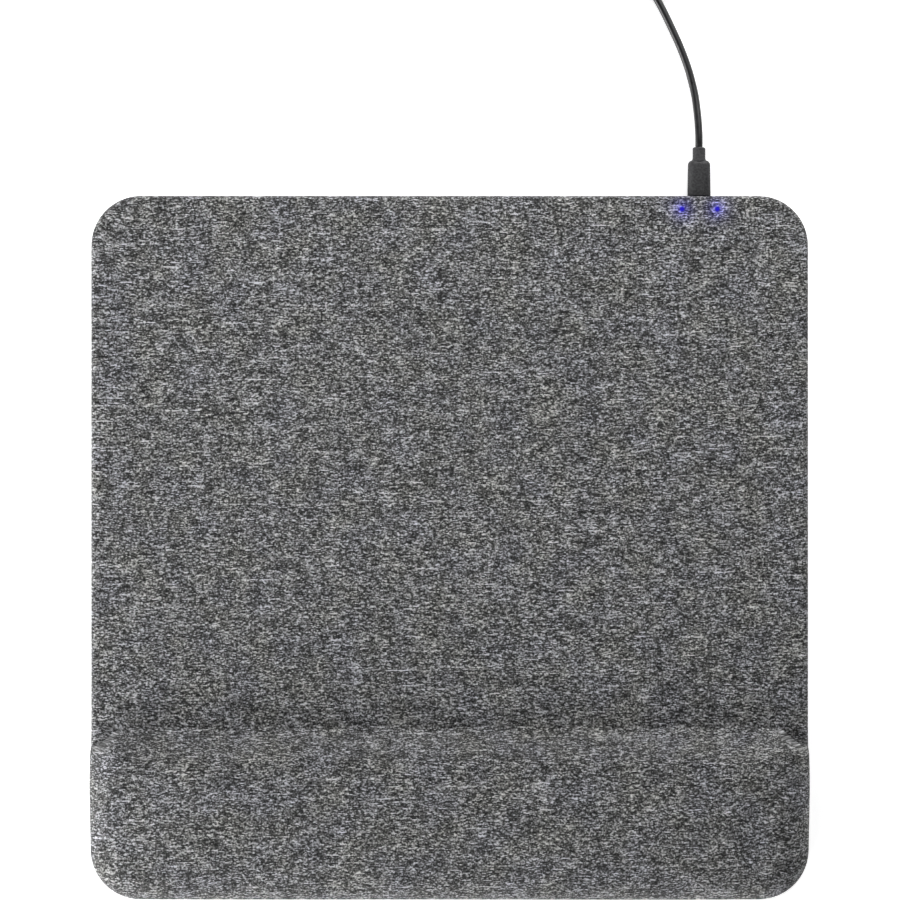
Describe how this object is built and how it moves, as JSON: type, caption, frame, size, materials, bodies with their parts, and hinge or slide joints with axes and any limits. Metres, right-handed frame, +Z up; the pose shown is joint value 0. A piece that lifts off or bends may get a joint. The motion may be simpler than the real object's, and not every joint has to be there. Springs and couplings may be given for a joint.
{
  "type": "mouse pad with wireless phone charger",
  "caption": "Fabric-covered desk mouse pad with a raised padded wrist rest, a wireless phone charger built in and its cable plugged in at the rear edge.",
  "frame": {"origin": "on the table under the middle of the pad, cable left out", "axes": "+X to the right, +Y away from the user to the rear edge with the port, +Z up"},
  "size_m": [0.3039, 0.4372, 0.022],
  "materials": {
    "cover_knit": "heather grey knit, matt",
    "foam_memory": "memory foam, matt",
    "foam_sheet": "closed-cell foam sheet, matt",
    "board": "pressed board, matt",
    "tray": "moulded ABS, fine texture",
    "base_rubber": "natural rubber, fine dotted grip texture",
    "screw_steel": "zinc-plated",
    "port_plastic": "fine moulded texture",
    "carrier_plastic": "white moulded plastic",
    "ferrite": "sintered, dull",
    "litz_copper": "varnished stranded copper",
    "sensor_epoxy": "dipped epoxy",
    "board_laminate": "green solder mask",
    "chip_epoxy": "moulded epoxy",
    "chip_ceramic": "sintered, satin",
    "light_lens": "clear lens, lit blue",
    "light_guide": "clear acrylic",
    "plated_steel": "nickel-plated",
    "contact_gold": "gold-plated",
    "insulator_black": "moulded nylon",
    "insulator_white": "moulded nylon",
    "grip_vinyl": "over-moulded vinyl, fine spark texture",
    "cord_vinyl": "extruded vinyl, satin",
    "tie_hook": "hook-and-loop tape"
  },
  "bodies": {
    "pad": {"rubber_base": "base_rubber", "base_tray": "tray", "top_board": "board", "board_screws": "screw_steel", "surface_foam": "foam_sheet", "wrist_foam": "foam_memory", "fabric_cover": "cover_knit", "port_bezel": "port_plastic", "coil_carrier": "carrier_plastic", "ferrite_plate": "ferrite", "charging_coil": "litz_copper", "coil_leads": "litz_copper", "thermistor": "sensor_epoxy", "circuit_board": "board_laminate", "pcb_screws": "screw_steel", "controller_chips": "chip_epoxy", "resonant_capacitors": "chip_ceramic", "small_components": "chip_ceramic", "light_left": "light_lens", "light_right": "light_lens", "light_pipe_left": "light_guide", "light_pipe_right": "light_guide", "receptacle_shell": "plated_steel", "receptacle_insulator": "insulator_black", "receptacle_contacts": "contact_gold"},
    "cable": {"plug_shell": "plated_steel", "plug_insulator": "insulator_black", "plug_contacts": "contact_gold", "plug_grip": "grip_vinyl", "plug_strain_relief": "grip_vinyl", "cord_lead": "cord_vinyl", "cord_coil": "cord_vinyl", "cord_tail": "cord_vinyl", "cable_tie": "tie_hook", "charger_plug_strain_relief": "grip_vinyl", "charger_plug_grip": "grip_vinyl", "charger_plug_shell": "plated_steel", "charger_plug_insulator": "insulator_white", "charger_plug_contacts": "contact_gold"}
  },
  "joints": [
    {"name": "plug_pull", "type": "slide", "parent": "pad", "child": "cable", "axis": [0, 1, 0], "range_m": [0, 0.008]}
  ]
}
